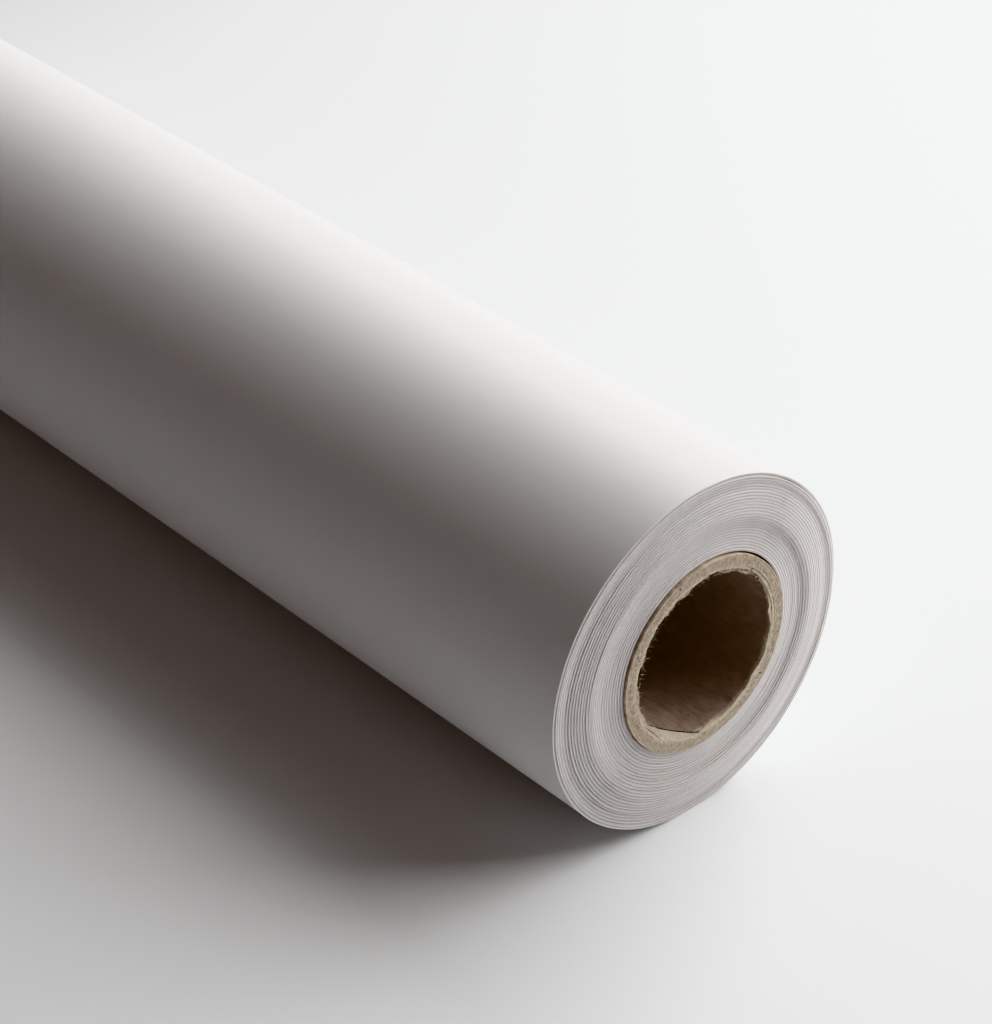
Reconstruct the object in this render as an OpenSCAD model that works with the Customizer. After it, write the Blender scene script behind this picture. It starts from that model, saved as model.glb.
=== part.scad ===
// Roll of sign vinyl: self-adhesive film on its release liner, wound film side out on a
// spiral-wound cardboard core tube.
// Frame: the roll lies on its side with its axis along Y and +Z up. The origin is on the
// core's axis, midway along the web. The front end faces -Y. Clock angles are measured from
// the top (+Z) and grow clockwise as seen from the front, so 90 is +X. The web winds
// outwards clockwise, and its free end lies on the +X side.

/* [Core tube] */
// Diameter of the bore that takes a spindle or a dowel
core_bore_d = 25.4; // [20:0.1:80]
// Length of the core tube
core_len = 305; // [100:1:700]
// How far the core stands out at the front end past a share of 1 in the turns' relief
core_proud = 0.2; // [0:0.1:1]
// Thickness of the kraft ply that lines the bore
inner_ply_t = 0.35; // [0.2:0.05:1]
// Thickness of each chipboard body ply
body_ply_t = 0.45; // [0.2:0.05:1]
// Thickness of the smooth ply outside
outer_ply_t = 0.3; // [0.2:0.05:1]

/* [Web] */
// Width of the web, along the roll
web_w = 305; // [100:1:700]
// Thickness of the vinyl film with its coat of adhesive
film_t = 0.125; // [0.08:0.005:0.25]
// Thickness of the release liner
liner_t = 0.165; // [0.08:0.005:0.3]
// Gap at the silicone face, where the film lets go of the liner
release_gap = 0.02; // [0.01:0.005:0.05]
// Air between one turn and the next in the loose winding
turn_gap = 0.13; // [0.08:0.01:0.4]
// How much wider the turns hang apart below the core than above it
turn_sag = 0.06; // [0:0.01:0.12]
// Number of whole turns on the core
turns = 27; // [8:1:40]

/* [Wound ends] */
// Height at the front end that a share of 1 in the turns' relief stands for
telescope = 1.5; // [0:0.1:3]

/* [Start tape] */
// Thickness of the double-sided tape that holds the web's start on the core
tape_t = 0.1; // [0.05:0.01:0.3]
// Width of the tape, measured round the core
tape_w = 12; // [6:1:20]
// Distance from each edge of the web to the end of the tape
tape_inset = 12.5; // [2:0.5:40]

/* [Free end] */
// Clock angle of the line where the tail leaves the roll
tail_root = 60; // [20:1:70]
// Angle round the roll that the tail covers
tail_span = 70; // [45:1:100]
// Angle round the roll that the film's peeling lip covers, up to the free edge
lip_span = 25; // [10:1:35]
// Slit at the line where the tail or the lip bends
bend_slit = 0.05; // [0.02:0.01:0.2]

/* [Hidden] */
$fn = 96;

// Core tube: radii of the plies, from the bore outwards
body_plies = 4;
bore_r = core_bore_d / 2;
body_r = bore_r + inner_ply_t;
outer_ply_r = body_r + body_plies * body_ply_t;
core_r = outer_ply_r + outer_ply_t;

// Winding: a spiral of half turns. The radius grows by one step where a half turn meets the
// next above the core, and by another where they meet below it, and the half ring's centre
// moves by as much along Z, so each half ring carries on exactly where the last one ended.
// The upper step is the larger, so the centres sink turn by turn and the winding sags.
film_at = liner_t + release_gap;
pitch = film_at + film_t + turn_gap;
step_above = pitch / 2 + turn_sag / 4;
step_below = pitch / 2 - turn_sag / 4;
last = 2 * turns - 1;
first_z = pitch / 4;
first_r = core_r + first_z + tape_t;

// The front edges of the turns form a shallow relief. Its points are the way through the
// winding, from 0 at the first turn to 1 at the last, and the share of the telescope there.
relief = [
    [0, 0.86], [0.3, 0.64], [0.46, 0.82], [0.56, 0.7], [0.74, 0.42], [0.86, 0.22], [0.94, 0.26], [1, 0]
];

// Free end: clock angles of the film's bend and of the free edge
lip_root = tail_root + tail_span - lip_span;
free_edge = tail_root + tail_span;

kraft = "#9c8468";
chipboard = "#a89178";
outer_kraft = "#b09a80";
film_white = "#f1efec";
liner_white = "#e2dfd9";
tape_white = "#e8e4d8";

// Number of joins above and below the core that come before half turn k
function above(k) = ceil(k / 2);
function below(k) = floor(k / 2);

// Radius, centre height and forward shift of half turn k
function turn_r(k) = first_r + above(k) * step_above + below(k) * step_below;
function turn_z(k) = first_z - above(k) * step_above + below(k) * step_below;
function turn_shift(k) = telescope * (lookup(k / last, relief) - 0.5);

// Angle that a length covers round a radius
function arc_angle(length, r) = length / r * 180 / PI;

// Ring sector round the Y axis between two clock angles, its middle moved forwards by shift
module sector(r, t, length, from, to, shift = 0) {
    rotate([-90, 0, 0])
        rotate_extrude(start = from - 90, angle = to - from)
            translate([r, -shift - length / 2])
                square([t, length]);
}

// One layer of half turn k: at is the layer's height over the half turn's inner face
module half_turn(k, at, t, from, to) {
    translate([0, 0, turn_z(k)])
        sector(turn_r(k) + at, t, web_w, from, to, turn_shift(k));
}

// One layer of the web from clock angle from in half turn k0 to clock angle to in half turn k1
module web(at, t, k0, from, k1, to) {
    for (k = [k0 : k1]) {
        begin = k % 2 == 0 ? 180 : 0;
        half_turn(k, at, t, k == k0 ? from : begin, k == k1 ? to : begin + 180);
    }
}

// One layer of the firm winding, which ends a turn short of the line where the tail leaves
module winding(at, t) {
    web(at, t, 0, 180, last - 2, tail_root);
}

// One layer of the looser turn outside, up to the line where the tail leaves
module outer_turn(at, t) {
    web(at, t, last - 2, tail_root, last, tail_root);
}

// One tube of the core
module ply(r, t) {
    shift = (web_w + telescope - core_len) / 2 + core_proud;
    translate([0, -shift, 0])
        rotate([90, 0, 0])
            difference() {
                cylinder(h = core_len, r = r + t, center = true);
                cylinder(h = core_len + 2, r = r, center = true);
            }
}

module core_inner_ply() {
    color(kraft) ply(bore_r, inner_ply_t);
}

module core_body_ply(i) {
    color(chipboard) ply(body_r + i * body_ply_t, body_ply_t);
}

module core_outer_ply() {
    color(outer_kraft) ply(outer_ply_r, outer_ply_t);
}

// The tape fills the space between the core and the first half turn's liner
module core_start_tape() {
    start = 180;
    end = start + arc_angle(tape_w, core_r);
    color(tape_white)
        difference() {
            translate([0, 0, turn_z(0)])
                sector(0, first_r, web_w - 2 * tape_inset, start, end, turn_shift(0));
            rotate([90, 0, 0])
                cylinder(h = 2 * web_w, r = core_r, center = true);
        }
}

module wound_liner() {
    color(liner_white) winding(0, liner_t);
}

module wound_film() {
    color(film_white) winding(film_at, film_t);
}

module outer_turn_liner() {
    color(liner_white) outer_turn(0, liner_t);
}

module outer_turn_film() {
    color(film_white) outer_turn(film_at, film_t);
}

module tail_liner() {
    slit = arc_angle(bend_slit, turn_r(last));
    color(liner_white) half_turn(last, 0, liner_t, tail_root + slit, free_edge);
}

module tail_film() {
    slit = arc_angle(bend_slit, turn_r(last));
    color(film_white) half_turn(last, film_at, film_t, tail_root + slit, lip_root);
}

module lip_film() {
    slit = arc_angle(bend_slit, turn_r(last));
    color(film_white) half_turn(last, film_at, film_t, lip_root + slit, free_edge);
}

core_inner_ply();
core_body_ply(0);  // core_body_ply_1
core_body_ply(1);  // core_body_ply_2
core_body_ply(2);  // core_body_ply_3
core_body_ply(3);  // core_body_ply_4
core_outer_ply();
core_start_tape();
wound_liner();
wound_film();
outer_turn_liner();
outer_turn_film();
tail_liner();
tail_film();
lip_film();
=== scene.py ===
"""Roll of sign vinyl: the looks of the wound web, its free tail and its cardboard core.

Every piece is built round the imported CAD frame, in metres.
"""

import math

import bpy
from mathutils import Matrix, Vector


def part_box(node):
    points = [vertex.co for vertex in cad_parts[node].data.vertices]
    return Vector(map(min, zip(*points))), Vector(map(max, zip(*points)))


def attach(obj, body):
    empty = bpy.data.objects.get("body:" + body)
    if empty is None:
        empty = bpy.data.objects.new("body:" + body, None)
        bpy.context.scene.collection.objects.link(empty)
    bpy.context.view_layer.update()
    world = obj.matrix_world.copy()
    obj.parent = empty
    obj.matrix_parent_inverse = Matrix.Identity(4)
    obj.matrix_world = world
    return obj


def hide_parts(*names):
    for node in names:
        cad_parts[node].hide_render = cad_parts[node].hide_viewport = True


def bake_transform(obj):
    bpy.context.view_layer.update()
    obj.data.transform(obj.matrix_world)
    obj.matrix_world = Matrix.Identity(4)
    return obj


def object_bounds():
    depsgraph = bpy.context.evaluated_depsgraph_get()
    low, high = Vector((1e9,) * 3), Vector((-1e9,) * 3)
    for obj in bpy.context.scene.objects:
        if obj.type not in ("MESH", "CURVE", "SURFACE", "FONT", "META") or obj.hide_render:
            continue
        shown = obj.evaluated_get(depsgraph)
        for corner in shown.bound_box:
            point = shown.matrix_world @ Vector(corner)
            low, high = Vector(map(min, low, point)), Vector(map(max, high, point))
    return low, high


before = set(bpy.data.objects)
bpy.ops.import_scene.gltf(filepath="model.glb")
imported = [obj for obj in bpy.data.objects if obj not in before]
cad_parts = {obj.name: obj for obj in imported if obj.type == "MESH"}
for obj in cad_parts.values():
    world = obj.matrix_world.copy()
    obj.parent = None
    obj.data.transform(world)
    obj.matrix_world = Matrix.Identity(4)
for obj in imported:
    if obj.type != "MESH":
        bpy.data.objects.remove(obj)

bl_info = {
    "name": "Sign Vinyl Roll",
    "version": (1, 0, 0),
    "blender": (4, 5, 0),
    "location": "3D View > Sidebar > Vinyl Roll",
    "description": "Builds a loosely wound roll of white sign vinyl on its cardboard core",
    "category": "Add Mesh",
}

MM = 0.001

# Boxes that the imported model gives: the whole roll's, the core's and the web's.
CAD_BOX = [list(corner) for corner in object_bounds()]
CORE_LOW, CORE_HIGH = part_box("core_outer_ply")
WEB_LOW, WEB_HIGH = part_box("tail_liner")

# The relief across the wound ends: the way through the winding, from 0 at the first turn to 1 at
# the last, and the share of the relief height there.
RELIEF = (
    (0, 0.86), (0.3, 0.64), (0.46, 0.82), (0.56, 0.7), (0.74, 0.42), (0.86, 0.22), (0.94, 0.26), (1, 0),
)

# Clock angles of the seams of the six plies, at the front end, from the bore outwards.
PLY_SEAMS = (100.0, 40.0, 292.0, 128.0, 338.0, 215.0)
# For the same plies: factors on the lip's lean, on the saw's wander and on the tear.
PLY_LEAN = (1.0, 0.3, 0.0, 0.0, 0.0, 0.0)
PLY_WANDER = (1.6, 1.2, 1, 1, 1, 0.5)
PLY_TEAR = (1.0, 0.25, 0.0, 0.0, 0.0, 0.0)
# Degrees between a ply's edges at its seam. The bore's ply is closed; its seam is a groove in painted
# shade.
SEAM_GAP = 0.9
# Clock angle of the peeled corner of the bore's ply, where its seam meets the front end, and its span.
PEEL_CLOCK, PEEL_SPAN = 183.0, 36.0
# Columns of vertices round the bore's ply, which has the torn lip, and round the other plies.
LIP_COLUMNS, PLY_COLUMNS = 289, 145

# Degrees of the web that the tail's and the lip's pieces take in before the tail's root and the lip's
# start.
BEFORE_BEND = 8
# Wound angle where the web starts on the core, and degrees over which the last turn comes loose.
WEB_START, LOOSE_SPAN = 180.0, 140.0
# Steps in a turn and rows of vertices along the roll, in the firm winding and in the turn outside it.
FIRM_MESH, OUTER_MESH = (144, 4), (240, 9)
# Vertices this close are one, and the row next to each cut edge lies this far from it.
WELD, SECOND_ROW = 0.0002 * MM, 0.5 * MM

# Half the width of the bore seam's groove and where its soft sides end, as shares of one round.
GROOVE, GROOVE_SIDES = 0.0008, 0.0028

# The floor in metres: its radius, its gap below the roll, and how far off it starts and stops fading.
FLOOR_RADIUS, FLOOR_GAP, FADE_FROM, FADE_TO = 6, 0.01 * MM, 0.26, 0.58
# The key and a weak glow above it that softens the shadow: name, elevation, width, height, power.
LIGHTS = (("soft_key", 40.5, 0.82, 0.50, 6.6), ("top_glow", 72.0, 0.82, 0.16, 0.25))
# Both lights' colour, the degrees they stand off +X, and their distance from the front end.
LIGHT_COLOUR, LIGHT_TURN, LIGHT_REACH = (0.997, 1.0, 1.0), -10.5, 0.575
# Strength of the air that fills the shadows.
AIR_STRENGTH = 0.097
# The camera's place, the way it looks, and its lens in millimetres.
EYE, GAZE, LENS = (-0.2363, -0.3757, 0.2366), (0.5551, 0.6234, -0.5508), 102.9

MATH, VECTOR, NOISE = "ShaderNodeMath", "ShaderNodeVectorMath", "ShaderNodeTexNoise"
JOIN_XYZ, SPLIT_XYZ = "ShaderNodeCombineXYZ", "ShaderNodeSeparateXYZ"
MAP_RANGE, MIX = "ShaderNodeMapRange", "ShaderNodeMix"
SET_POSITION = "GeometryNodeSetPosition"


def linear(code):
    """Turns an sRGB hex colour into Blender's linear values."""
    parts = [int(code[i : i + 2], 16) / 255 for i in (1, 3, 5)]
    return tuple(p / 12.92 if p <= 0.04045 else ((p + 0.055) / 1.055) ** 2.4 for p in parts)


def size(name, description, default, low=0.0, high=1.0):
    """A length that a user may change, in metres."""
    return bpy.props.FloatProperty(
        name=name, description=description, default=default, min=low, max=high,
        precision=5, unit="LENGTH", subtype="DISTANCE",
    )


def arc(name, description, degrees):
    """An angle that a user may change, given in degrees."""
    return bpy.props.FloatProperty(
        name=name, description=description, default=math.radians(degrees), unit="ROTATION", subtype="ANGLE"
    )


def colour(name, description, code):
    """A colour that a user may change."""
    return bpy.props.FloatVectorProperty(
        name=name, description=description, default=linear(code), min=0, max=1,
        size=3, subtype="COLOR",
    )


class CoreTubeSizes(bpy.types.PropertyGroup):
    """Sizes of the spiral-wound cardboard tube."""

    bore: size("Bore radius", "Radius of the hole through the core", 12.7 * MM)
    inner_ply: size("Inner ply", "Thickness of the kraft ply that lines the bore", 0.35 * MM)
    body_ply: size("Body ply", "Thickness of each chipboard ply", 0.45 * MM)
    outer_ply: size("Outer ply", "Thickness of the smooth ply outside", 0.3 * MM)
    front: size("Front end", "Where the front end of the core lies along the roll", CORE_LOW.y, -1)
    length: size("Length", "Length of the core", CORE_HIGH.y - CORE_LOW.y)
    burr: size("Burr", "How far the torn lip leans into the bore", 0.85 * MM)
    torn_back: size("Torn back", "How far the bore's ply is torn back behind the sawn face", 0.75 * MM)
    cut_wander: size("Saw wander", "How far the sawn ends wander", 0.07 * MM)
    seam_lead: size("Seam lead", "Length of core for one round of a ply's seam", 58 * MM)


class WebSizes(bpy.types.PropertyGroup):
    """Sizes of the web and of the spiral that it is wound in."""

    film: size("Film", "Thickness of the vinyl film", 0.125 * MM)
    liner: size("Liner", "Thickness of the release liner", 0.165 * MM)
    release_gap: size("Release gap", "Gap at the silicone face", 0.02 * MM)
    first_radius: size("First radius", "Radius of the first half turn's inner face", 15.36 * MM)
    first_height: size("First height", "Height of the first half turn's centre", 0.11 * MM)
    step_above: size("Step above", "Growth of the radius at each join above the core", 0.235 * MM)
    step_below: size("Step below", "Growth of the radius at each join below the core", 0.205 * MM)
    width: size("Width", "Width of the web along the roll", WEB_HIGH.y - WEB_LOW.y)
    telescope: size("Relief", "Height that a share of 1 in the wound ends' relief stands for", 1.5 * MM)
    edge_wander: size("Edge wander", "How far the edge of a turn wanders along the roll", 0.16 * MM)
    gap_wander: size("Gap wander", "How far a turn wanders off its spiral", 0.05 * MM)
    knife_burr: size("Knife burr", "How far the knife's burr stands off each cut edge", 0.052 * MM)
    loosening: size("Loosening", "How far the last turn stands off the roll", 0.1 * MM)
    turns: bpy.props.IntProperty(
        name="Turns", description="Number of whole turns on the core", default=27, min=4, max=60
    )
    tail_root: arc("Tail root", "Clock angle where the tail leaves the roll", 60)
    tail_span: arc("Tail span", "Angle round the roll that the tail covers", 70)
    lip_span: arc("Lip span", "Angle round the roll that the peeling lip covers", 25)


class RollColours(bpy.types.PropertyGroup):
    """Colours of the roll's materials."""

    film: colour("Film", "Matt white vinyl", "#f7f5f4")
    film_shade: colour("Film shade", "The faintly darker mottling in the vinyl", "#f0eeed")
    liner: colour("Liner", "Clay-coated paper", "#d9d0cd")
    liner_shade: colour("Liner shade", "Fibres in the liner", "#c8bdba")
    kraft: colour("Kraft", "The ply that lines the bore", "#a19083")
    kraft_dark: colour("Kraft fleck", "Dark fibres in the bore ply", "#847163")
    board: colour("Board", "Sawn chipboard", "#d7c8b7")
    board_dark: colour("Board fleck", "Darker pulp in the chipboard", "#a99883")
    fibre: colour("Torn fibre", "Pale fibres of the torn lip", "#d9cbb5")
    worn: colour("Worn board", "Sawn board rubbed pale next to the bore", "#eadfce")
    tape: colour("Tape", "Double-sided tape", "#e8e4d8")
    # Painted shade: this colour darkens the bore ply's seam groove where its shadow would fall.
    seam: colour("Seam", "The groove where the bore ply's edges meet", "#30271d")
    floor: colour("Floor", "Pale studio floor", "#eceeef")
    air: colour("Air", "Dim warm light that fills the shadows", "#ffe6da")
    backdrop: colour("Backdrop", "What the lens sees behind the floor", "#e7e8ea")


# ---- nodes


def feed(tree, node, inputs):
    """Sets a node's inputs. Each is a plain value or a socket to link."""
    for key, value in inputs.items():
        if isinstance(value, bpy.types.NodeSocket):
            tree.links.new(value, node.inputs[key])
        else:
            node.inputs[key].default_value = value


def add(tree, kind, inputs=None, **settings):
    """Adds one node with its settings and returns its outputs."""
    node = tree.nodes.new(kind)
    for name, value in settings.items():
        setattr(node, name, value)
    feed(tree, node, inputs or {})
    return node.outputs


def new_tree(name, sockets):
    """A geometry node tree with named inputs. Returns the tree and its inputs' outputs."""
    tree = bpy.data.node_groups.new(name, "GeometryNodeTree")
    tree.interface.new_socket("Geometry", in_out="OUTPUT", socket_type="NodeSocketGeometry")
    kinds = {float: "NodeSocketFloat", int: "NodeSocketInt", None: "NodeSocketMaterial"}
    for label, default in sockets.items():
        kind = kinds[None if default is None else type(default)]
        socket = tree.interface.new_socket(label, in_out="INPUT", socket_type=kind)
        if default is not None:
            socket.default_value = default
    return tree, tree.nodes.new("NodeGroupInput").outputs


def finish_tree(tree, geometry, material):
    """Ends a tree with smooth shading, realized instances and its material."""
    smooth = add(tree, "GeometryNodeSetShadeSmooth", {"Geometry": geometry})[0]
    real = add(tree, "GeometryNodeRealizeInstances", {"Geometry": smooth})[0]
    made = add(tree, "GeometryNodeSetMaterial", {"Geometry": real, "Material": material})[0]
    out = tree.nodes.new("NodeGroupOutput")
    tree.links.new(made, out.inputs[0])


def direction(tree, clock):
    """Sine, cosine and outward direction of a clock angle in degrees."""
    turn = add(tree, MATH, {0: clock}, operation="RADIANS")[0]
    sine = add(tree, MATH, {0: turn}, operation="SINE")[0]
    cosine = add(tree, MATH, {0: turn}, operation="COSINE")[0]
    return sine, cosine, add(tree, JOIN_XYZ, {0: sine, 1: 0.0, 2: cosine})[0]


def remember(tree, geometry, name, value, kind="FLOAT"):
    """Keeps a value on each point. Returns the geometry, and the value as later nodes read it."""
    kept = add(
        tree, "GeometryNodeStoreNamedAttribute",
        {"Geometry": geometry, "Name": name, "Value": value}, data_type=kind, domain="POINT",
    )[0]
    return kept, add(tree, "GeometryNodeInputNamedAttribute", {"Name": name}, data_type=kind)[0]


def turn_noise(tree, given, halves, around, rate, scale, detail):
    """Noise round the turns. The lower its rate, the more alike neighbouring turns are."""
    along = add(tree, MATH, {0: halves, 1: rate}, operation="MULTIPLY")[0]
    spot = add(tree, JOIN_XYZ, {0: around[0], 1: along, 2: around[1]})[0]
    facts = {"Vector": spot, "W": given["Seed"], "Scale": scale, "Detail": detail}
    return add(tree, NOISE, facts, noise_dimensions="4D")[0]


def close_shell(tree, sheet, raised):
    """Joins a sheet, turned over, to the wall raised from it, as one closed shell."""
    under = add(tree, "GeometryNodeFlipFaces", {"Mesh": sheet})[0]
    both = tree.nodes.new("GeometryNodeJoinGeometry")
    tree.links.new(under, both.inputs[0])
    tree.links.new(raised, both.inputs[0])
    return add(tree, "GeometryNodeMergeByDistance", {"Geometry": both.outputs[0], "Distance": WELD})[0]


def grow(name, tree, values, sharp=35):
    """Runs a node tree and keeps the result as a plain mesh piece at the origin."""
    maker = bpy.data.objects.new(name + "_maker", bpy.data.meshes.new(name + "_seed"))
    bpy.context.scene.collection.objects.link(maker)
    modifier = maker.modifiers.new("Grow", "NODES")
    modifier.node_group = tree
    for item in tree.interface.items_tree:
        if item.in_out == "INPUT" and item.name in values:
            modifier[item.identifier] = values[item.name]
    bpy.context.view_layer.update()
    graph = bpy.context.evaluated_depsgraph_get()
    mesh = bpy.data.meshes.new_from_object(maker.evaluated_get(graph))
    bpy.data.objects.remove(maker)
    if not mesh.polygons:
        raise RuntimeError(f"{name}: the node tree made no faces")
    mesh.name = name
    mesh.set_sharp_from_angle(angle=math.radians(sharp))
    piece = bpy.data.objects.new(name, mesh)
    bpy.context.scene.collection.objects.link(piece)
    return piece


def web_layer_tree():
    """One layer of the web as a closed strip, wound in a spiral of half turns.

    The radius grows where a half turn meets the next above the core and again below it, and the
    half turn's centre moves by as much, so the winding is continuous and sags a little.
    """
    tree, given = new_tree(
        "Web Layer",
        {
            "Start Angle": 180.0, "End Angle": 540.0, "Segments": 144, "Rows": 2,
            "First Radius": 0.01536, "First Height": 0.00011,
            "Step Above": 0.000235, "Step Below": 0.000205,
            "Offset": 0.0, "Thickness": 0.000125, "Width": 0.305,
            "Telescope": 0.0015, "Last Half Turn": 53.0,
            "Edge Wander": 0.0001, "Gap Wander": 0.00004, "Inner Burr": 0.0, "Outer Burr": 0.0,
            "Loosening": 0.0, "Loose From": 9000.0, "Loose To": 9700.0,
            "Seed": 3.0, "Material": None,
        },
    )
    columns = add(tree, MATH, {0: given["Segments"], 1: 1.0}, operation="ADD")[0]
    grid = add(
        tree, "GeometryNodeMeshGrid",
        {"Size X": 1.0, "Size Y": 1.0, "Vertices X": columns, "Vertices Y": given["Rows"]},
    )["Mesh"]
    place = add(tree, SPLIT_XYZ, {0: add(tree, "GeometryNodeInputPosition")[0]})
    angle = add(
        tree, MAP_RANGE,
        {"Value": place["X"], "From Min": -0.5, "From Max": 0.5,
         "To Min": given["Start Angle"], "To Max": given["End Angle"]},
        clamp=False,
    )[0]
    kept, angle = remember(tree, grid, "wound_angle", angle)

    # Number of the half turn, and how many joins above and below the core come before it.
    from_start = add(tree, MATH, {0: angle, 1: 180.0}, operation="SUBTRACT")[0]
    halves = add(tree, MATH, {0: from_start, 1: 180.0}, operation="DIVIDE")[0]
    number = add(tree, MATH, {0: halves}, operation="FLOOR")[0]
    pairs = add(tree, MATH, {0: number, 1: 0.5}, operation="MULTIPLY")[0]
    above = add(tree, MATH, {0: pairs}, operation="CEIL")[0]
    below = add(tree, MATH, {0: pairs}, operation="FLOOR")[0]
    up = add(tree, MATH, {0: above, 1: given["Step Above"]}, operation="MULTIPLY")[0]
    down = add(tree, MATH, {0: below, 1: given["Step Below"]}, operation="MULTIPLY")[0]
    grown = add(tree, MATH, {0: up, 1: down}, operation="ADD")[0]
    sunk = add(tree, MATH, {0: down, 1: up}, operation="SUBTRACT")[0]
    centre = add(tree, MATH, {0: sunk, 1: given["First Height"]}, operation="ADD")[0]
    inner = add(tree, MATH, {0: grown, 1: given["First Radius"]}, operation="ADD")[0]
    inner = add(tree, MATH, {0: inner, 1: given["Offset"]}, operation="ADD")[0]

    sine, cosine, outward = direction(tree, angle)

    # Slow wander of each turn, alike in neighbouring turns at the same clock angle.
    gap_noise = turn_noise(tree, given, halves, (sine, cosine), 0.42, 1.1, 1.0)
    gap_noise = add(tree, MATH, {0: gap_noise, 1: 0.5}, operation="SUBTRACT")[0]
    gap = add(tree, MATH, {0: gap_noise, 1: given["Gap Wander"]}, operation="MULTIPLY")[0]
    gap = add(tree, MATH, {0: gap, 1: 2.0}, operation="MULTIPLY")[0]

    # The last turn stands off the roll, more and more towards the tail.
    loose = add(
        tree, MAP_RANGE,
        {"Value": angle, "From Min": given["Loose From"], "From Max": given["Loose To"],
         "To Min": 0.0, "To Max": given["Loosening"]},
        interpolation_type="SMOOTHSTEP",
    )[0]
    total = add(tree, MATH, {0: inner, 1: gap}, operation="ADD")[0]
    total = add(tree, MATH, {0: total, 1: loose}, operation="ADD")[0]

    # Edges of the turns: the relief across the wound end, then each turn's own wander.
    middle = add(tree, MATH, {0: halves, 1: 0.5}, operation="SUBTRACT")[0]
    share = add(tree, MATH, {0: middle, 1: given["Last Half Turn"]}, operation="DIVIDE")[0]
    share = add(tree, "ShaderNodeClamp", {0: share})[0]
    curve = add(tree, "ShaderNodeFloatCurve", {"Value": share})[0]
    points = curve.node.mapping.curves[0].points
    points[0].location, points[1].location = RELIEF[0], RELIEF[-1]
    for way, height in RELIEF[1:-1]:
        points.new(way, height)
    curve.node.mapping.update()
    rise = add(tree, MATH, {0: curve, 1: 0.5}, operation="SUBTRACT")[0]
    shift = add(tree, MATH, {0: rise, 1: given["Telescope"]}, operation="MULTIPLY")[0]
    edge_noise = turn_noise(tree, given, halves, (sine, cosine), 0.9, 1.3, 2.0)
    edge_noise = add(tree, MATH, {0: edge_noise, 1: 0.5}, operation="SUBTRACT")[0]
    edge = add(tree, MATH, {0: edge_noise, 1: given["Edge Wander"]}, operation="MULTIPLY")[0]
    shift = add(tree, MATH, {0: shift, 1: edge}, operation="ADD")[0]

    # The knife leaves a small burr on both cut edges, so the outside rows stand close to them.
    last_row = add(tree, MATH, {0: given["Rows"], 1: 1.0}, operation="SUBTRACT")[0]
    to_edge = add(tree, MATH, {0: place["Y"]}, operation="ABSOLUTE")[0]
    to_edge = add(tree, MATH, {0: 0.5, 1: to_edge}, operation="SUBTRACT")[0]
    row = add(tree, MATH, {0: to_edge, 1: last_row}, operation="MULTIPLY")[0]
    at_edge = add(tree, MATH, {0: row, 1: 0.5}, operation="LESS_THAN")[0]
    at_second = add(tree, MATH, {0: row, 1: 1.5}, operation="LESS_THAN")[0]
    side = add(tree, MATH, {0: place["Y"]}, operation="SIGN")[0]
    half = add(tree, MATH, {0: given["Width"], 1: 0.5}, operation="MULTIPLY")[0]
    second = add(tree, MATH, {0: half, 1: SECOND_ROW}, operation="SUBTRACT")[0]
    inner_rows = add(tree, MATH, {0: place["Y"], 1: given["Width"]}, operation="MULTIPLY")[0]
    near = add(tree, MIX, {0: at_edge, 2: second, 3: half}, data_type="FLOAT")[0]
    near = add(tree, MATH, {0: near, 1: side}, operation="MULTIPLY")[0]
    across = add(tree, MIX, {0: at_second, 2: inner_rows, 3: near}, data_type="FLOAT")[0]
    across = add(tree, MATH, {0: across, 1: shift}, operation="SUBTRACT")[0]
    swell = turn_noise(tree, given, halves, (sine, cosine), 2.3, 2.2, 3.0)
    # The turns hang closest together at the sides of the roll, so the burrs swell there.
    sides = add(tree, MATH, {0: sine, 1: sine}, operation="MULTIPLY")[0]
    swell = add(tree, MATH, {0: sides, 1: 0.2, 2: swell}, operation="MULTIPLY_ADD")[0]
    swell = add(
        tree, MAP_RANGE,
        {"Value": swell, "From Min": 0.36, "From Max": 0.62, "To Min": 0.25, "To Max": 1.0},
    )[0]
    swell = add(tree, MATH, {0: swell, 1: at_edge}, operation="MULTIPLY")[0]
    kept, burr = remember(tree, kept, "knife_burr", swell)
    sink = add(tree, MATH, {0: swell, 1: given["Inner Burr"]}, operation="MULTIPLY")[0]
    total = add(tree, MATH, {0: total, 1: sink}, operation="SUBTRACT")[0]

    radial = add(tree, VECTOR, {0: outward, "Scale": total}, operation="SCALE")[0]
    lift = add(tree, JOIN_XYZ, {0: 0.0, 1: across, 2: centre})[0]
    spot = add(tree, VECTOR, {0: radial, 1: lift}, operation="ADD")[0]
    sheet = add(tree, SET_POSITION, {"Geometry": kept, "Position": spot})[0]
    lifted = add(
        tree, "GeometryNodeExtrudeMesh",
        {"Mesh": sheet, "Offset": outward, "Offset Scale": given["Thickness"], "Individual": False},
        mode="FACES",
    )
    both = add(tree, MATH, {0: given["Inner Burr"], 1: given["Outer Burr"]}, operation="ADD")[0]
    burr = add(tree, MATH, {0: both, 1: burr}, operation="MULTIPLY")[0]
    burr = add(tree, VECTOR, {0: outward, "Scale": burr}, operation="SCALE")[0]
    raised = add(
        tree, SET_POSITION,
        {"Geometry": lifted["Mesh"], "Selection": lifted["Top"], "Offset": burr},
    )[0]
    finish_tree(tree, close_shell(tree, sheet, raised), given["Material"])
    return tree


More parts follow.
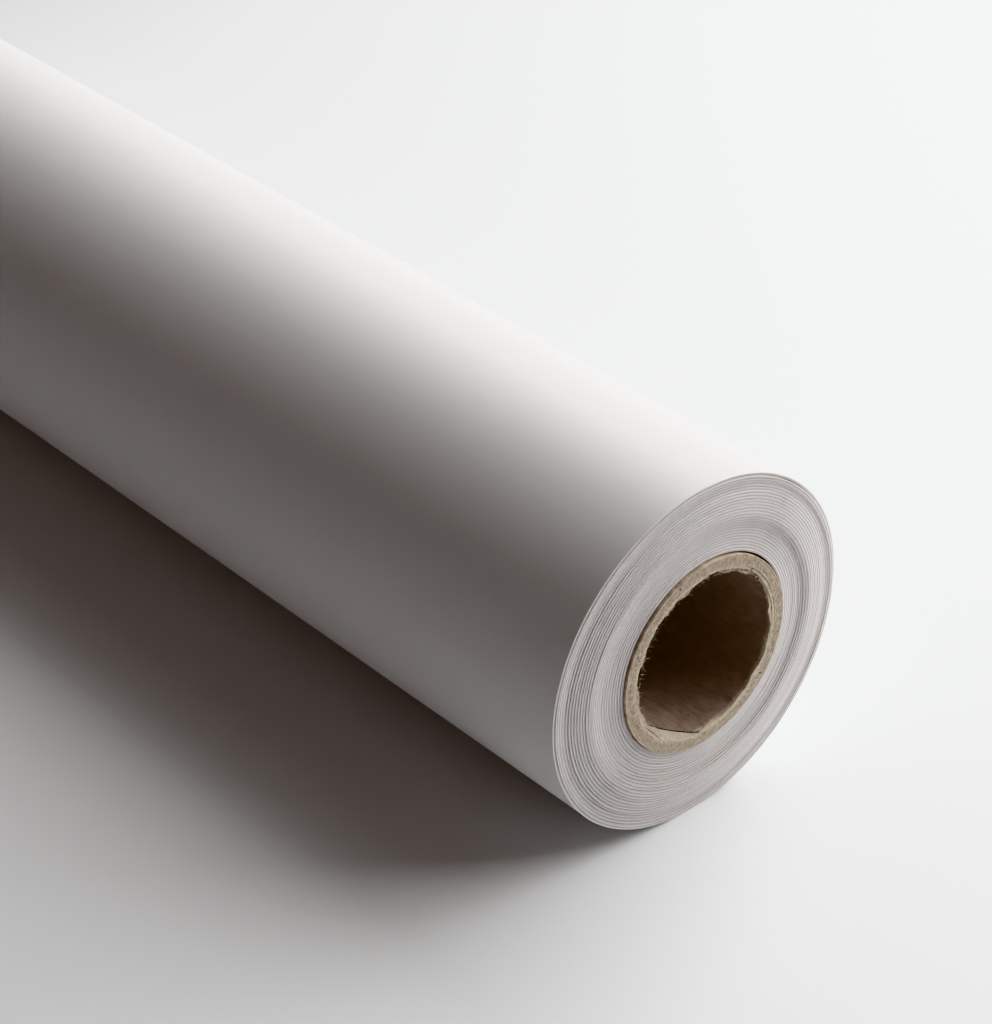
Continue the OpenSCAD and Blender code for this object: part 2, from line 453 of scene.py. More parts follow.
def ply_tree():
    """One ply of the core as a closed tube, slit along its seam, with sawn ends and a torn inner lip."""
    tree, given = new_tree(
        "Core Ply",
        {
            "Inner Radius": 0.0127, "Thickness": 0.00035, "Front": -0.15345, "Length": 0.305,
            "Columns": 192, "Rows": 19, "Seam Angle": 183.0, "Seam Gap": 0.8,
            "Burr": 0.0, "Burr Depth": 0.0012, "Cut Wander": 0.00007,
            "Peel From": PEEL_CLOCK, "Peel To": 0.0, "Peel Rate": 0.00016,
            "Torn Back": 0.0, "Torn At": 345.0, "Seed": 1.0, "Material": None,
        },
    )
    grid = add(
        tree, "GeometryNodeMeshGrid",
        {"Size X": 2.0, "Size Y": 2.0, "Vertices X": given["Columns"], "Vertices Y": given["Rows"]},
    )["Mesh"]
    place = add(tree, SPLIT_XYZ, {0: add(tree, "GeometryNodeInputPosition")[0]})
    last = add(tree, MATH, {0: given["Seam Angle"], 1: 360.0}, operation="ADD")[0]
    last = add(tree, MATH, {0: last, 1: given["Seam Gap"]}, operation="SUBTRACT")[0]
    angle = add(
        tree, MAP_RANGE,
        {"Value": place["X"], "From Min": -1.0, "From Max": 1.0,
         "To Min": given["Seam Angle"], "To Max": last},
        clamp=False,
    )[0]
    outward = direction(tree, angle)[2]

    # Rows crowd towards both ends, where the torn lip needs them.
    away = add(tree, MATH, {0: place["Y"]}, operation="ABSOLUTE")[0]
    away = add(tree, MATH, {0: 1.0, 1: away}, operation="SUBTRACT")[0]
    crowd = add(tree, MATH, {0: away, 1: 4.0}, operation="POWER")[0]
    far = add(tree, MATH, {0: 1.0, 1: crowd}, operation="SUBTRACT")[0]
    side = add(tree, MATH, {0: place["Y"]}, operation="SIGN")[0]
    run = add(tree, MATH, {0: far, 1: side}, operation="MULTIPLY")[0]
    back = add(tree, MATH, {0: given["Front"], 1: given["Length"]}, operation="ADD")[0]
    along = add(
        tree, MAP_RANGE,
        {"Value": run, "From Min": -1.0, "From Max": 1.0, "To Min": given["Front"], "To Max": back},
        clamp=False,
    )[0]
    radial = add(tree, VECTOR, {0: outward, "Scale": given["Inner Radius"]}, operation="SCALE")[0]
    lift = add(tree, JOIN_XYZ, {0: 0.0, 1: along, 2: 0.0})[0]
    spot = add(tree, VECTOR, {0: radial, 1: lift}, operation="ADD")[0]
    kept, outward = remember(tree, grid, "outward", outward, "FLOAT_VECTOR")
    sheet = add(tree, SET_POSITION, {"Geometry": kept, "Position": spot})[0]
    raised = add(
        tree, "GeometryNodeExtrudeMesh",
        {"Mesh": sheet, "Offset": outward, "Offset Scale": given["Thickness"], "Individual": False},
        mode="FACES",
    )["Mesh"]
    shell = close_shell(tree, sheet, raised)

    # Depth of a point below the nearer end, and how much of the lip's shape it takes.
    here = add(tree, "GeometryNodeInputPosition")[0]
    part = add(tree, SPLIT_XYZ, {0: here})
    from_front = add(tree, MATH, {0: part["Y"], 1: given["Front"]}, operation="SUBTRACT")[0]
    from_back = add(tree, MATH, {0: given["Length"], 1: from_front}, operation="SUBTRACT")[0]
    depth = add(tree, MATH, {0: from_front, 1: from_back}, operation="MINIMUM")[0]
    lip = add(
        tree, MAP_RANGE,
        {"Value": depth, "From Min": 0.0, "From Max": given["Burr Depth"], "To Min": 1.0, "To Max": 0.0},
        interpolation_type="SMOOTHSTEP",
    )[0]
    flat = add(tree, VECTOR, {0: here, 1: (1.0, 0.0, 1.0)}, operation="MULTIPLY")[0]
    reach = add(tree, VECTOR, {0: flat}, operation="LENGTH")["Value"]
    outward = add(tree, VECTOR, {0: flat}, operation="NORMALIZE")[0]
    clock = add(tree, MATH, {0: part["X"], 1: part["Z"]}, operation="ARCTAN2")[0]
    clock = add(tree, MATH, {0: clock}, operation="DEGREES")[0]
    rise = add(tree, MATH, {0: reach, 1: given["Inner Radius"]}, operation="SUBTRACT")[0]
    rise = add(tree, MATH, {0: rise, 1: given["Thickness"]}, operation="DIVIDE")[0]
    inside = add(
        tree, MAP_RANGE,
        {"Value": rise, "From Min": 0.0, "From Max": 1.0, "To Min": 1.0, "To Max": 0.35},
    )[0]
    # Wide and fine raggedness of the torn lip, in waves per metre.
    wide, fine = (
        add(
            tree, NOISE,
            {"Vector": here, "W": given["Seed"], "Scale": waves, "Detail": detail}, noise_dimensions="4D",
        )[0]
        for waves, detail in ((330.0, 0.0), (1300.0, 2.0))
    )
    wide = add(
        tree, MAP_RANGE, {"Value": wide, "From Min": 0.3, "From Max": 0.72, "To Min": 0.0, "To Max": 1.0}
    )[0]
    ragged = add(tree, MATH, {0: fine, 1: 0.55}, operation="MULTIPLY")[0]
    ragged = add(tree, MATH, {0: wide, 1: ragged}, operation="ADD")[0]
    ragged = add(tree, MATH, {0: ragged, 1: 0.68}, operation="SUBTRACT")[0]
    ragged = add(tree, MATH, {0: ragged, 1: -0.35}, operation="MAXIMUM")[0]
    # The sawn edge wanders, and the peeled corner of the ply follows its seam into the bore.
    saw = add(tree, MATH, {0: fine, 1: 0.5}, operation="SUBTRACT")[0]
    saw = add(tree, MATH, {0: saw, 1: given["Cut Wander"]}, operation="MULTIPLY")[0]
    saw = add(tree, MATH, {0: saw, 1: 2.0}, operation="MULTIPLY")[0]
    saw = add(tree, MATH, {0: saw, 1: lip}, operation="MULTIPLY")[0]
    past = add(tree, MATH, {0: clock, 1: given["Peel From"]}, operation="SUBTRACT")[0]
    past = add(tree, MATH, {0: past, 1: 360.0, 2: 0.0}, operation="WRAP")[0]
    torn = add(tree, MATH, {0: past, 1: given["Peel Rate"]}, operation="MULTIPLY")[0]
    tear = add(tree, MATH, {0: wide, 1: 4.0}, operation="MULTIPLY")[0]
    tear = add(tree, MATH, {0: past, 1: tear}, operation="ADD")[0]
    peeled = add(tree, MATH, {0: tear, 1: given["Peel To"]}, operation="LESS_THAN")[0]
    torn = add(tree, MATH, {0: torn, 1: peeled}, operation="MULTIPLY")[0]
    level = add(tree, MATH, {0: 1.0, 1: peeled}, operation="SUBTRACT")[0]
    ragged = add(tree, MATH, {0: ragged, 1: level}, operation="MULTIPLY")[0]
    # The peeled corner's edge is feathered, because the paper tears thin there.
    ragged = add(tree, MATH, {0: peeled, 1: -0.3, 2: ragged}, operation="MULTIPLY_ADD")[0]
    lean = add(tree, MATH, {0: ragged, 1: lip}, operation="MULTIPLY")[0]
    lean = add(tree, MATH, {0: lean, 1: inside}, operation="MULTIPLY")[0]
    lean = add(tree, MATH, {0: lean, 1: given["Burr"]}, operation="MULTIPLY")[0]
    lean = add(tree, MATH, {0: lean, 1: -1.0}, operation="MULTIPLY")[0]
    inwards = add(tree, VECTOR, {0: outward, "Scale": lean}, operation="SCALE")[0]
    left = add(tree, MATH, {0: from_back, 1: given["Length"]}, operation="DIVIDE")[0]
    # Round one side of the mouth the ply is torn back a little behind the sawn face.
    swing = add(tree, MATH, {0: clock, 1: given["Torn At"]}, operation="SUBTRACT")[0]
    swing = add(tree, MATH, {0: swing}, operation="RADIANS")[0]
    swing = add(tree, MATH, {0: swing}, operation="COSINE")[0]
    swing = add(
        tree, MAP_RANGE, {"Value": swing, "From Min": -0.2, "From Max": 0.35, "To Min": 0.0, "To Max": 1.0}
    )[0]
    shred = add(tree, MATH, {0: fine, 1: 1.6, 2: -0.25}, operation="MULTIPLY_ADD")[0]
    behind = add(tree, MATH, {0: swing, 1: shred}, operation="MULTIPLY")[0]
    behind = add(tree, MATH, {0: behind, 1: given["Torn Back"]}, operation="MULTIPLY")[0]
    torn = add(tree, MATH, {0: torn, 1: behind}, operation="ADD")[0]
    torn = add(tree, MATH, {0: torn, 1: left}, operation="MULTIPLY")[0]
    push = add(tree, MATH, {0: saw, 1: torn}, operation="ADD")[0]
    push = add(tree, JOIN_XYZ, {0: 0.0, 1: push, 2: 0.0})[0]
    move = add(tree, VECTOR, {0: inwards, 1: push}, operation="ADD")[0]
    shaped = add(tree, SET_POSITION, {"Geometry": shell, "Offset": move})[0]
    finish_tree(tree, shaped, given["Material"])
    return tree


def fibre_tree():
    """Short torn paper fibres round the lip of the bore."""
    tree, given = new_tree(
        "Lip Fibres",
        {"Radius": 0.0127, "Front": -0.15345, "Count": 300, "Longest": 0.0009, "Seed": 5, "Material": None},
    )
    ring = add(
        tree, "GeometryNodeMeshCircle",
        {"Vertices": given["Count"], "Radius": given["Radius"]}, fill_type="NONE",
    )[0]
    upright = (math.pi / 2, 0.0, 0.0)
    ring = add(tree, "GeometryNodeTransform", {"Geometry": ring, "Rotation": upright})[0]
    shake = add(
        tree, "FunctionNodeRandomValue",
        {0: (-0.00018, -0.00012, -0.00018), 1: (0.00018, 0.00022, 0.00018), "Seed": given["Seed"]},
        data_type="FLOAT_VECTOR",
    )[0]
    level = add(tree, JOIN_XYZ, {0: 0.0, 1: given["Front"], 2: 0.0})[0]
    jump = add(tree, VECTOR, {0: shake, 1: level}, operation="ADD")[0]
    ring = add(tree, SET_POSITION, {"Geometry": ring, "Offset": jump})[0]
    hair = add(
        tree, "GeometryNodeMeshCone",
        {"Vertices": 3, "Radius Bottom": 0.000035, "Radius Top": 0.00001, "Depth": 1.0},
    )[0]
    seed = add(tree, MATH, {0: given["Seed"], 1: 7.0}, operation="ADD")[0]
    twist = add(
        tree, "FunctionNodeRandomValue",
        {0: (-1.9, -1.9, -3.14), 1: (1.9, 1.9, 3.14), "Seed": seed}, data_type="FLOAT_VECTOR",
    )[0]
    seed = add(tree, MATH, {0: given["Seed"], 1: 13.0}, operation="ADD")[0]
    reach = add(
        tree, "FunctionNodeRandomValue", {2: 0.00025, 3: given["Longest"], "Seed": seed}, data_type="FLOAT"
    )[1]
    stretch = add(tree, JOIN_XYZ, {0: 1.0, 1: 1.0, 2: reach})[0]
    hairs = add(
        tree, "GeometryNodeInstanceOnPoints",
        {"Points": ring, "Instance": hair, "Rotation": twist, "Scale": stretch},
    )[0]
    finish_tree(tree, hairs, given["Material"])
    return tree


# ---- materials


def new_material(name):
    """A node-based material. Returns it, its tree, its surface shader and its Object coordinates."""
    material = bpy.data.materials.new(name)
    material.use_nodes = True
    tree = material.node_tree
    surface = tree.nodes["Principled BSDF"]
    return material, tree, surface, add(tree, "ShaderNodeTexCoord")["Object"]


def calendered_vinyl(tones):
    """Matt calendered PVC film: an even, faintly warm white with a soft bloom and no clear reflection.

    The eye gets a very fine matt grain and long shallow waves that follow the web.
    """
    material, tree, surface, place = new_material("Calendered Matt Vinyl")
    cloud = add(tree, NOISE, {"Vector": place, "Scale": 1 / (26 * MM), "Detail": 3.0})[0]
    tone = add(
        tree, MIX, {0: cloud, 6: (*tones.film, 1), 7: (*tones.film_shade, 1)}, data_type="RGBA"
    )[2]
    # The waves are about 14 mm apart round the roll and 110 mm along it.
    round_roll, along_roll = 1 / (14 * MM), 1 / (110 * MM)
    waves = add(
        tree, "ShaderNodeMapping", {"Vector": place, "Scale": (round_roll, along_roll, round_roll)}
    )[0]
    wave = add(tree, NOISE, {"Vector": waves, "Scale": 1.0, "Detail": 1.0})[0]
    slow = add(tree, "ShaderNodeBump", {"Height": wave, "Strength": 0.35, "Distance": 0.4 * MM})[0]
    # The real grain is about 0.02 mm, drawn at 0.35 mm so that it shows.
    grain = add(tree, NOISE, {"Vector": place, "Scale": 1 / (0.35 * MM), "Detail": 2.0})[0]
    matt = add(
        tree, "ShaderNodeBump",
        {"Height": grain, "Normal": slow, "Strength": 0.25, "Distance": 0.01 * MM},
    )[0]
    rough = add(
        tree, MAP_RANGE,
        {"Value": cloud, "From Min": 0.3, "From Max": 0.7, "To Min": 0.58, "To Max": 0.68},
    )[0]
    feed(tree, surface, {
        "Base Color": tone, "Normal": matt, "Roughness": rough, "IOR": 1.53, "Specular IOR Level": 0.3,
        # White film lets some light through, so its cut edges never go quite dark.
        "Subsurface Weight": 0.5, "Subsurface Radius": (1.0, 0.95, 0.9), "Subsurface Scale": 0.6 * MM,
    })
    return material


def coated_liner(tones):
    """Clay-coated release paper: a slightly greyer white than the film, with a soft fibrous cut edge."""
    material, tree, surface, place = new_material("Clay-coated Release Paper")
    pulp = add(tree, NOISE, {"Vector": place, "Scale": 1 / (1.1 * MM), "Detail": 4.0})[0]
    tone = add(
        tree, MIX, {0: pulp, 6: (*tones.liner, 1), 7: (*tones.liner_shade, 1)}, data_type="RGBA"
    )[2]
    lay = add(tree, "ShaderNodeBump", {"Height": pulp, "Strength": 0.3, "Distance": 0.02 * MM})[0]
    feed(tree, surface, {
        "Base Color": tone, "Normal": lay, "Roughness": 0.5, "IOR": 1.5,
        "Subsurface Weight": 0.45, "Subsurface Radius": (1.0, 0.85, 0.8), "Subsurface Scale": 0.6 * MM,
    })
    return material


def paper_board(name, base, fleck, pulp_size, ends, torn=None, worn=None, seam=None, depth=0.06 * MM):
    """Uncoated paperboard: soft, dull and fibrous, with dark and pale flecks of recycled pulp.

    Fibres torn open are paler: towards the ends of the ply that lines the bore, and on the
    sawn face up to a worn radius.
    """
    material, tree, surface, place = new_material(name)
    # Pulp flecks lie along the roll, about three times as long as they are wide.
    across, along = 1 / pulp_size, 0.35 / pulp_size
    lay = add(tree, "ShaderNodeMapping", {"Vector": place, "Scale": (across, along, across)})[0]
    pulp = add(tree, NOISE, {"Vector": lay, "Scale": 1.0, "Detail": 6.0, "Roughness": 0.65})[0]
    amount = add(
        tree, MAP_RANGE, {"Value": pulp, "From Min": 0.35, "From Max": 0.68, "To Min": 0.0, "To Max": 1.0}
    )[0]
    tone = add(tree, MIX, {0: amount, 6: (*base, 1), 7: (*fleck, 1)}, data_type="RGBA")[2]
    height = pulp
    front, length = ends
    if torn:
        part = add(tree, SPLIT_XYZ, {0: place})
        off_middle = add(tree, MATH, {0: part["Y"], 1: front + length / 2}, operation="SUBTRACT")[0]
        off_middle = add(tree, MATH, {0: off_middle}, operation="ABSOLUTE")[0]
        uneven = add(tree, NOISE, {"Vector": place, "Scale": 1 / (1.4 * MM), "Detail": 4.0})[0]
        uneven = add(tree, MATH, {0: uneven, 1: 0.8 * MM}, operation="MULTIPLY")[0]
        off_middle = add(tree, MATH, {0: off_middle, 1: uneven}, operation="ADD")[0]
        frayed = add(
            tree, MAP_RANGE,
            {"Value": off_middle, "From Min": length / 2 - 0.3 * MM, "From Max": length / 2 + 0.2 * MM,
             "To Min": 0.0, "To Max": 0.75},
        )[0]
        tone = add(tree, MIX, {0: frayed, 6: tone, 7: (*torn, 1)}, data_type="RGBA")[2]
    if worn:
        pale, radius = worn
        around = add(tree, VECTOR, {0: place, 1: (1.0, 0.0, 1.0)}, operation="MULTIPLY")[0]
        around = add(tree, VECTOR, {0: around}, operation="LENGTH")["Value"]
        patchy = add(tree, NOISE, {"Vector": place, "Scale": 1 / (1.7 * MM), "Detail": 3.0})[0]
        around = add(tree, MATH, {0: patchy, 1: 1.2 * MM, 2: around}, operation="MULTIPLY_ADD")[0]
        rubbed = add(
            tree, MAP_RANGE,
            {"Value": around, "From Min": radius + 0.8 * MM, "From Max": radius + 1.4 * MM,
             "To Min": 0.55, "To Max": 0.0},
        )[0]
        tone = add(tree, MIX, {0: rubbed, 6: tone, 7: (*pale, 1)}, data_type="RGBA")[2]
    if seam:
        # The butt seam of the ply runs round the bore as a helix: a fine groove in the bump, with painted
        # shade in it.
        lead, clock, groove_shade = seam
        part = add(tree, SPLIT_XYZ, {0: place})
        turn = add(tree, MATH, {0: part["X"], 1: part["Z"]}, operation="ARCTAN2")[0]
        turn = add(tree, MATH, {0: turn, 1: 2 * math.pi}, operation="DIVIDE")[0]
        deep = add(tree, MATH, {0: part["Y"], 1: front}, operation="SUBTRACT")[0]
        deep = add(tree, MATH, {0: deep, 1: lead}, operation="DIVIDE")[0]
        phase = add(tree, MATH, {0: turn, 1: deep}, operation="SUBTRACT")[0]
        phase = add(tree, MATH, {0: phase, 1: clock / 360 - 0.5}, operation="SUBTRACT")[0]
        phase = add(tree, MATH, {0: phase}, operation="FRACT")[0]
        off = add(tree, MATH, {0: phase, 1: 0.5}, operation="SUBTRACT")[0]
        off = add(tree, MATH, {0: off}, operation="ABSOLUTE")[0]
        line = add(
            tree, MAP_RANGE,
            {"Value": off, "From Min": GROOVE, "From Max": GROOVE_SIDES, "To Min": 0.0, "To Max": 1.0},
        )[0]
        # Painted shade: the middle of the seam's line takes the dark seam colour.
        tone = add(tree, MIX, {0: line, 6: (*groove_shade, 1), 7: tone}, data_type="RGBA")[2]
        height = add(tree, MATH, {0: pulp, 1: line}, operation="ADD")[0]
    rough = add(tree, "ShaderNodeBump", {"Height": height, "Strength": 0.8, "Distance": depth})[0]
    feed(tree, surface, {
        "Base Color": tone, "Normal": rough, "Roughness": 0.88, "IOR": 1.5, "Specular IOR Level": 0.25,
    })
    return material


def tissue_tape(tones):
    """Double-sided tissue tape: translucent off-white tissue with a tacky, slightly shiny face."""
    material, tree, surface, place = new_material("Double-sided Tissue Tape")
    tissue = add(tree, NOISE, {"Vector": place, "Scale": 1 / (0.8 * MM), "Detail": 4.0})[0]
    pale = tuple(min(1.0, c * 1.06) for c in tones.tape)
    tone = add(tree, MIX, {0: tissue, 6: (*tones.tape, 1), 7: (*pale, 1)}, data_type="RGBA")[2]
    feed(tree, surface, {"Base Color": tone, "Roughness": 0.35, "IOR": 1.47})
    return material


def painted_floor(tones):
    """Matt painted board: an even pale surface with a barely visible roller texture."""
    material, tree, surface, place = new_material("Matt Painted Board")
    cloud = add(tree, NOISE, {"Vector": place, "Scale": 1 / (330 * MM), "Detail": 2.0})[0]
    darker = tuple(c * 0.985 for c in tones.floor)
    tone = add(tree, MIX, {0: cloud, 6: (*tones.floor, 1), 7: (*darker, 1)}, data_type="RGBA")[2]
    # Far from the roll the board sweeps out of sight into the pale backdrop.
    away = add(tree, VECTOR, {0: place}, operation="LENGTH")["Value"]
    shown = add(
        tree, MAP_RANGE,
        {"Value": away, "From Min": FADE_FROM, "From Max": FADE_TO, "To Min": 1.0, "To Max": 0.0},
        interpolation_type="SMOOTHSTEP",
    )[0]
    feed(tree, surface, {
        "Base Color": tone, "Roughness": 0.75, "Specular IOR Level": 0.25, "Alpha": shown,
    })
    return material


def finish(name, maker, *facts):
    """A finish made once and shared by its pieces."""
    return bpy.data.materials.get(name) or maker(*facts)


# ---- pieces


def spiral_values(web, offset, thickness, material):
    """The inputs that every layer of the web shares."""
    last = 2 * web.turns - 1
    loose_to = 180 + 180 * last + math.degrees(web.tail_root)
    return {
        "First Radius": web.first_radius, "First Height": web.first_height,
        "Step Above": web.step_above, "Step Below": web.step_below,
        "Offset": offset, "Thickness": thickness, "Width": web.width,
        "Telescope": web.telescope, "Last Half Turn": float(last),
        "Edge Wander": web.edge_wander, "Gap Wander": web.gap_wander,
        "Inner Burr": 0.0 if offset else web.knife_burr, "Outer Burr": web.knife_burr if offset else 0.0,
        "Loosening": web.loosening, "Loose From": loose_to - LOOSE_SPAN, "Loose To": loose_to,
        "Material": material,
    }


def layer(name, web, kind, start, end, per_turn, rows):
    """One stretch of film or liner between two wound angles, in degrees."""
    tones = bpy.context.scene.vinyl_roll_colours
    if kind == "film":
        offset, thickness = web.liner + web.release_gap, web.film
        material = finish("Calendered Matt Vinyl", calendered_vinyl, tones)
    else:
        offset, thickness = 0.0, web.liner
        material = finish("Clay-coated Release Paper", coated_liner, tones)
    values = spiral_values(web, offset, thickness, material)
    values.update({
        "Start Angle": start, "End Angle": end,
        "Segments": max(2, round((end - start) / 360 * per_turn)), "Rows": rows,
    })
    tree = bpy.data.node_groups.get("Web Layer") or web_layer_tree()
    piece = grow(name, tree, values)
    return piece


def tail_angles(web):
    """Wound angles of the tail: its piece's start, its root, the lip piece's start, the lip's start line,
    the end.
    """
    root = 360.0 * web.turns + math.degrees(web.tail_root)
    end = root + math.degrees(web.tail_span)
    lip = end - math.degrees(web.lip_span)
    return root - BEFORE_BEND, root, lip - BEFORE_BEND, lip, end


class OBJECT_OT_vinyl_core(bpy.types.Operator):
    """Builds the six plies of the spiral-wound core, with sawn ends and a torn lip"""

    bl_idname = "object.vinyl_core"
    bl_label = "Core Tube"

    def execute(self, context):
        tube, tones = context.scene.vinyl_roll_core, context.scene.vinyl_roll_colours
        tree = ply_tree()
        ends = (tube.front, tube.length)
        bore = paper_board(
            "Bore Kraft Paper", tones.kraft, tones.kraft_dark, 0.9 * MM, ends,
            torn=tones.fibre, seam=(tube.seam_lead, PEEL_CLOCK, tones.seam),
        )
        board = paper_board(
            "Sawn Chipboard", tones.board, tones.board_dark, 0.67 * MM, ends,
            worn=(tones.worn, tube.bore + tube.inner_ply), depth=0.6 * MM,
        )
        outer = paper_board(
            "Smooth Kraft Paper", tones.board, tones.board_dark, 0.83 * MM, ends, depth=0.3 * MM,
        )
        torn = paper_board("Torn Paper Fibre", tones.fibre, tones.board, 0.55 * MM, ends)
        plies = [("core_inner_ply", tube.inner_ply, bore, "bore_kraft")]
        plies += [
            (f"core_body_ply_{number}", tube.body_ply, board, "core_board") for number in (1, 2, 3, 4)
        ]
        plies += [("core_outer_ply", tube.outer_ply, outer, "outer_kraft")]
        radius = tube.bore
        hairline = 0.012 * MM
        for number, (node, thickness, material, slot) in enumerate(plies):
            first = number == 0
            piece = grow(node + "_paper", tree, {
                "Inner Radius": radius + (0 if first else hairline),
                "Thickness": thickness - hairline * (1 if first else 2),
                "Front": tube.front, "Length": tube.length,
                "Columns": LIP_COLUMNS if first else PLY_COLUMNS, "Seam Angle": PLY_SEAMS[number],
                "Seam Gap": 0.0 if first else SEAM_GAP,
                "Burr": tube.burr * PLY_LEAN[number],
                "Cut Wander": tube.cut_wander * PLY_WANDER[number],
                "Peel To": PEEL_SPAN if first else 0.0, "Peel Rate": tube.seam_lead / 360,
                "Torn Back": tube.torn_back * PLY_TEAR[number],
                "Seed": 1.0 + number, "Material": material,
            })
            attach(piece, "roll")
            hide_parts(node)
            radius += thickness
        hairs = fibre_tree()
        for name, y, seed in (
            ("core_lip_fibres_front", tube.front, 5),
            ("core_lip_fibres_rear", tube.front + tube.length, 9),
        ):
            piece = grow(name, hairs, {
                "Radius": tube.bore + 0.05 * MM, "Front": y, "Seed": seed, "Material": torn,
            })
            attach(piece, "roll")
        return {"FINISHED"}


class OBJECT_OT_vinyl_start_tape(bpy.types.Operator):
    """Gives the tape that holds the web's start its finish"""

    bl_idname = "object.vinyl_start_tape"
    bl_label = "Start Tape"

    def execute(self, context):
        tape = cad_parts["core_start_tape"]
        tape.data.materials.clear()
        tape.data.materials.append(tissue_tape(context.scene.vinyl_roll_colours))
        return {"FINISHED"}


class OBJECT_OT_vinyl_winding(bpy.types.Operator):
    """Winds the film and its liner on the core, all but the last turn"""

    bl_idname = "object.vinyl_winding"
    bl_label = "Firm Winding"

    def execute(self, context):
        web = context.scene.vinyl_roll_web
        last_but_one = tail_angles(web)[1] - 360
        for kind in ("liner", "film"):
            piece = layer(f"wound_{kind}_turns", web, kind, WEB_START, last_but_one, *FIRM_MESH)
            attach(piece, "roll")
            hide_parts(f"wound_{kind}")
        return {"FINISHED"}


class OBJECT_OT_vinyl_outer_turn(bpy.types.Operator):
    """Winds the looser last turn, up to just before the tail's root"""

    bl_idname = "object.vinyl_outer_turn"
    bl_label = "Outer Turn"

    def execute(self, context):
        web = context.scene.vinyl_roll_web
        start, root = tail_angles(web)[:2]
        for kind in ("liner", "film"):
            piece = layer(f"last_{kind}_turn", web, kind, root - 360, start, *OUTER_MESH)
            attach(piece, "roll")
            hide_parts(f"outer_turn_{kind}")
        return {"FINISHED"}


class OBJECT_OT_vinyl_tail(bpy.types.Operator):
    """Lays the free tail on the roll, starting a little before where it leaves"""

    bl_idname = "object.vinyl_tail"
    bl_label = "Tail"

    def execute(self, context):
        web = context.scene.vinyl_roll_web
        start, root, lip_start, _, end = tail_angles(web)
        for kind, until in (("liner", end), ("film", lip_start)):
            piece = layer(f"free_{kind}_tail", web, kind, start, until, *OUTER_MESH)
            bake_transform(piece)
            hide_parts(f"tail_{kind}")
        return {"FINISHED"}


class OBJECT_OT_vinyl_lip(bpy.types.Operator):
    """Lays the film's peeling lip on the liner, starting a little before the line where it peels"""

    bl_idname = "object.vinyl_lip"
    bl_label = "Peeling Lip"

    def execute(self, context):
        web = context.scene.vinyl_roll_web
        lip_start, lip, end = tail_angles(web)[2:]
        piece = layer("peeling_film_lip", web, "film", lip_start, end, *OUTER_MESH)
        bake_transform(piece)
        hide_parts("lip_film")
        return {"FINISHED"}


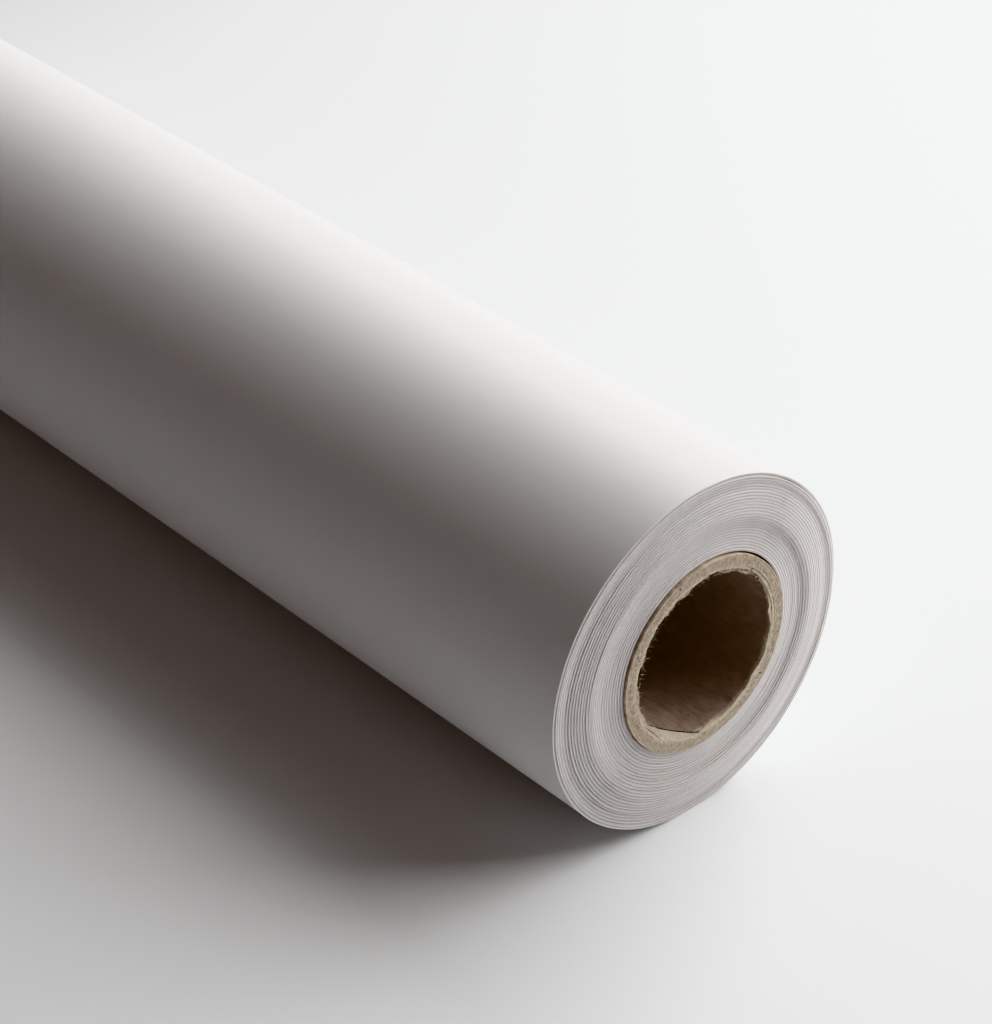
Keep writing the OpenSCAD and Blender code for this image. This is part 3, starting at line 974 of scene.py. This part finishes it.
class OBJECT_OT_vinyl_stage(bpy.types.Operator):
    """Sets the floor, the soft key light and the camera"""

    bl_idname = "object.vinyl_stage"
    bl_label = "Stage"

    def execute(self, context):
        scene, tones = context.scene, context.scene.vinyl_roll_colours
        bpy.ops.mesh.primitive_circle_add(
            vertices=96, radius=FLOOR_RADIUS, fill_type="NGON", location=(0, 0, 0)
        )
        floor = context.object
        floor.name = "studio_floor"
        floor.data.transform(floor.matrix_world)
        floor.matrix_world.identity()
        for vertex in floor.data.vertices:
            vertex.co.z = CAD_BOX[0][2] - FLOOR_GAP
        floor.data.materials.append(painted_floor(tones))

        front = Vector((0, CAD_BOX[0][1], 0))
        turn = math.radians(LIGHT_TURN)
        for name, elevation, width, height, power in LIGHTS:
            rise = math.radians(elevation)
            level = math.cos(rise)
            towards = Vector((level * math.cos(turn), level * math.sin(turn), math.sin(rise)))
            light = bpy.data.lights.new(name, "AREA")
            light.shape, light.size, light.size_y, light.energy = "RECTANGLE", width, height, power
            light.color = LIGHT_COLOUR
            lamp = bpy.data.objects.new(name, light)
            lamp.location = front + LIGHT_REACH * towards
            lamp.rotation_euler = (-towards).to_track_quat("-Z", "Y").to_euler()
            scene.collection.objects.link(lamp)

        world = bpy.data.worlds.new("studio_air")
        world.use_nodes = True
        # The dim warm air lights the shadows, and the lens sees a pale backdrop in its place.
        air = world.node_tree.nodes["Background"]
        feed(world.node_tree, air, {"Color": (*tones.air, 1), "Strength": AIR_STRENGTH})
        backdrop = add(world.node_tree, "ShaderNodeBackground", {"Color": (*tones.backdrop, 1)})[0]
        seen = add(world.node_tree, "ShaderNodeLightPath")["Is Camera Ray"]
        both = add(world.node_tree, "ShaderNodeMixShader", {0: seen, 1: air.outputs[0], 2: backdrop})[0]
        world.node_tree.links.new(both, world.node_tree.nodes["World Output"].inputs["Surface"])
        scene.world = world

        eye = bpy.data.cameras.new("camera")
        eye.lens, eye.sensor_width = LENS, 36.0
        camera = bpy.data.objects.new("camera", eye)
        camera.location = EYE
        camera.rotation_euler = Vector(GAZE).to_track_quat("-Z", "Y").to_euler()
        scene.collection.objects.link(camera)
        scene.camera = camera
        scene.view_settings.view_transform = "Khronos PBR Neutral"
        return {"FINISHED"}


OPERATORS = (
    OBJECT_OT_vinyl_core,
    OBJECT_OT_vinyl_start_tape,
    OBJECT_OT_vinyl_winding,
    OBJECT_OT_vinyl_outer_turn,
    OBJECT_OT_vinyl_tail,
    OBJECT_OT_vinyl_lip,
    OBJECT_OT_vinyl_stage,
)


class VIEW3D_PT_vinyl_roll(bpy.types.Panel):
    """Lists the roll's pieces and their sizes"""

    bl_idname = "VIEW3D_PT_vinyl_roll"
    bl_label = "Vinyl Roll"
    bl_space_type = "VIEW_3D"
    bl_region_type = "UI"
    bl_category = "Vinyl Roll"

    def draw(self, context):
        for operator in OPERATORS:
            self.layout.operator(operator.bl_idname)
        scene = context.scene
        for group in (scene.vinyl_roll_core, scene.vinyl_roll_web, scene.vinyl_roll_colours):
            column = self.layout.column(align=True)
            for name in group.__annotations__:
                column.prop(group, name)


CLASSES = (CoreTubeSizes, WebSizes, RollColours, *OPERATORS, VIEW3D_PT_vinyl_roll)


def register():
    for cls in CLASSES:
        bpy.utils.register_class(cls)
    bpy.types.Scene.vinyl_roll_core = bpy.props.PointerProperty(type=CoreTubeSizes)
    bpy.types.Scene.vinyl_roll_web = bpy.props.PointerProperty(type=WebSizes)
    bpy.types.Scene.vinyl_roll_colours = bpy.props.PointerProperty(type=RollColours)


def unregister():
    del bpy.types.Scene.vinyl_roll_colours
    del bpy.types.Scene.vinyl_roll_web
    del bpy.types.Scene.vinyl_roll_core
    for cls in reversed(CLASSES):
        bpy.utils.unregister_class(cls)


def main():
    register()
    bpy.ops.object.vinyl_core()
    bpy.ops.object.vinyl_start_tape()
    bpy.ops.object.vinyl_winding()
    bpy.ops.object.vinyl_outer_turn()
    bpy.ops.object.vinyl_tail()
    bpy.ops.object.vinyl_lip()
    bpy.ops.object.vinyl_stage()


if __name__ == "__main__":
    main()
